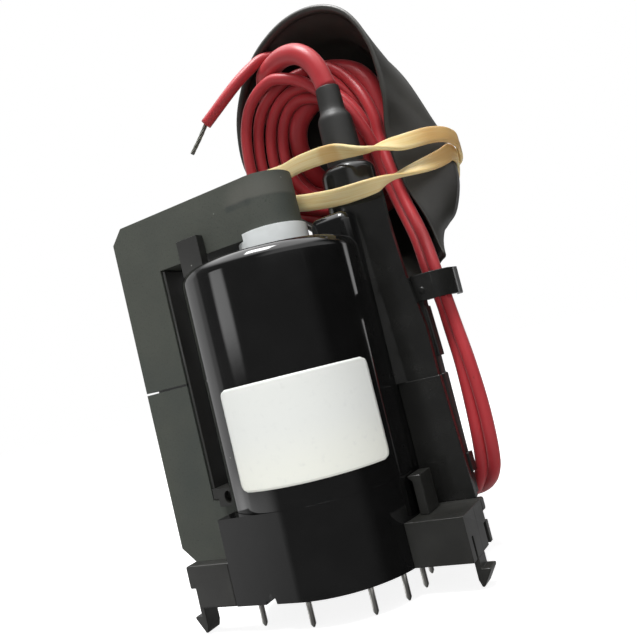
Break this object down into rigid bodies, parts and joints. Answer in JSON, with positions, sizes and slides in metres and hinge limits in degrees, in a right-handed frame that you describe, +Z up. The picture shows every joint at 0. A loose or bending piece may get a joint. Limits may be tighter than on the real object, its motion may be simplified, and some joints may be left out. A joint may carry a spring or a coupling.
{
  "type": "flyback transformer",
  "caption": "Line-output transformer with ferrite core halves, round potted case, high-voltage tower, coiled red leads and a rubber anode cap.",
  "frame": {"origin": "on the board seating plane, on the axis of the core's round leg", "axes": "+Z up from the board, -Y towards the labelled front, outer core leg at -X"},
  "size_m": [0.0687, 0.0594, 0.1155],
  "materials": {
    "moulded_case": "glossy moulded black",
    "moulded_base": "satin moulded black",
    "ferrite": "matt dark grey sintered ferrite",
    "spacer_film": "black film",
    "bobbin_white": "satin white",
    "potting_resin": "cast black resin",
    "tinned_pins": "tinned, slightly dull",
    "label_paper": "coated white paper, a little smudged",
    "boot_rubber": "matt shrink sleeve",
    "red_insulation": "satin red insulation",
    "tinned_wire": "stranded, tinned",
    "cap_rubber": "satin black rubber",
    "contact_metal": "plain steel",
    "band_rubber": "cream tan rubber",
    "knob_plastic": "satin dark grey"
  },
  "bodies": {
    "root": {"core_upper": "ferrite", "core_lower": "ferrite", "gap_spacer": "spacer_film", "bobbin_tube": "bobbin_white", "case_body": "moulded_case", "winding_compartment": "moulded_case", "hv_tower": "moulded_case", "tower_foot": "moulded_case", "back_plate": "moulded_base", "latch_upper": "moulded_base", "latch_lower": "moulded_base", "core_post": "moulded_base", "core_cradle": "moulded_base", "window_wall": "moulded_base", "base_skirt": "moulded_case", "base_lip": "moulded_base", "side_block": "moulded_base", "block_post": "moulded_base", "rear_block": "moulded_base", "cable_clip": "moulded_base", "hook_left": "moulded_base", "hook_right": "moulded_base", "resin_fill": "potting_resin", "pin_01": "tinned_pins", "pin_02": "tinned_pins", "pin_03": "tinned_pins", "pin_04": "tinned_pins", "pin_05": "tinned_pins", "pin_06": "tinned_pins", "pin_07": "tinned_pins", "pin_08": "tinned_pins", "pin_09": "tinned_pins", "pin_10": "tinned_pins", "focus_block": "moulded_base", "focus_knob": "knob_plastic", "screen_knob": "knob_plastic", "label": "label_paper", "lead_boot": "boot_rubber", "hv_lead": "red_insulation", "focus_lead": "red_insulation", "screen_lead": "red_insulation", "lead_hank": "red_insulation", "loose_end": "red_insulation", "bare_wire": "tinned_wire", "anode_cap": "cap_rubber", "anode_contact": "contact_metal", "rubber_band": "band_rubber"}
  },
  "joints": []
}
